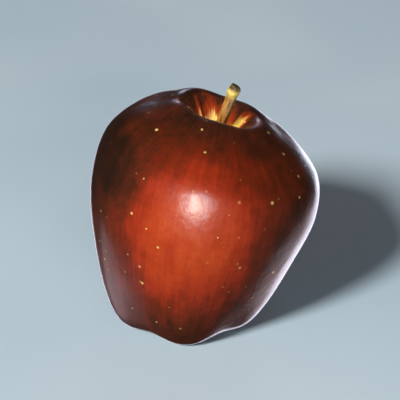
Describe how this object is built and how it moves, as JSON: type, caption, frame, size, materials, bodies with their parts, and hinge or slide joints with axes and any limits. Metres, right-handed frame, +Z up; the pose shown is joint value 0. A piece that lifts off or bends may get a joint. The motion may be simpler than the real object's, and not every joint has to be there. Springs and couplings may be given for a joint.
{
  "type": "red apple",
  "caption": "Whole ripe red apple, tall, ribbed and a little lopsided, with a woody stalk in its cavity and a dried calyx in its base, standing on the lobes of its lower end.",
  "frame": {"origin": "on the surface that the fruit stands on, under the middle of its outline seen from above", "axes": "+Z up through the stalk's end, -Y towards the front rib of the fruit, +X towards the side that the top leans to"},
  "size_m": [0.0752, 0.0742, 0.083],
  "materials": {
    "skin": "waxy gloss, dark red streaked over orange-red, with small pale dots",
    "stalk_wood": "dry matt bark, brown to yellow-green",
    "dried_calyx": "dry, matt, grey-brown"
  },
  "bodies": {
    "root": {"fruit": "skin", "stalk": "stalk_wood", "calyx": "dried_calyx"}
  },
  "joints": []
}
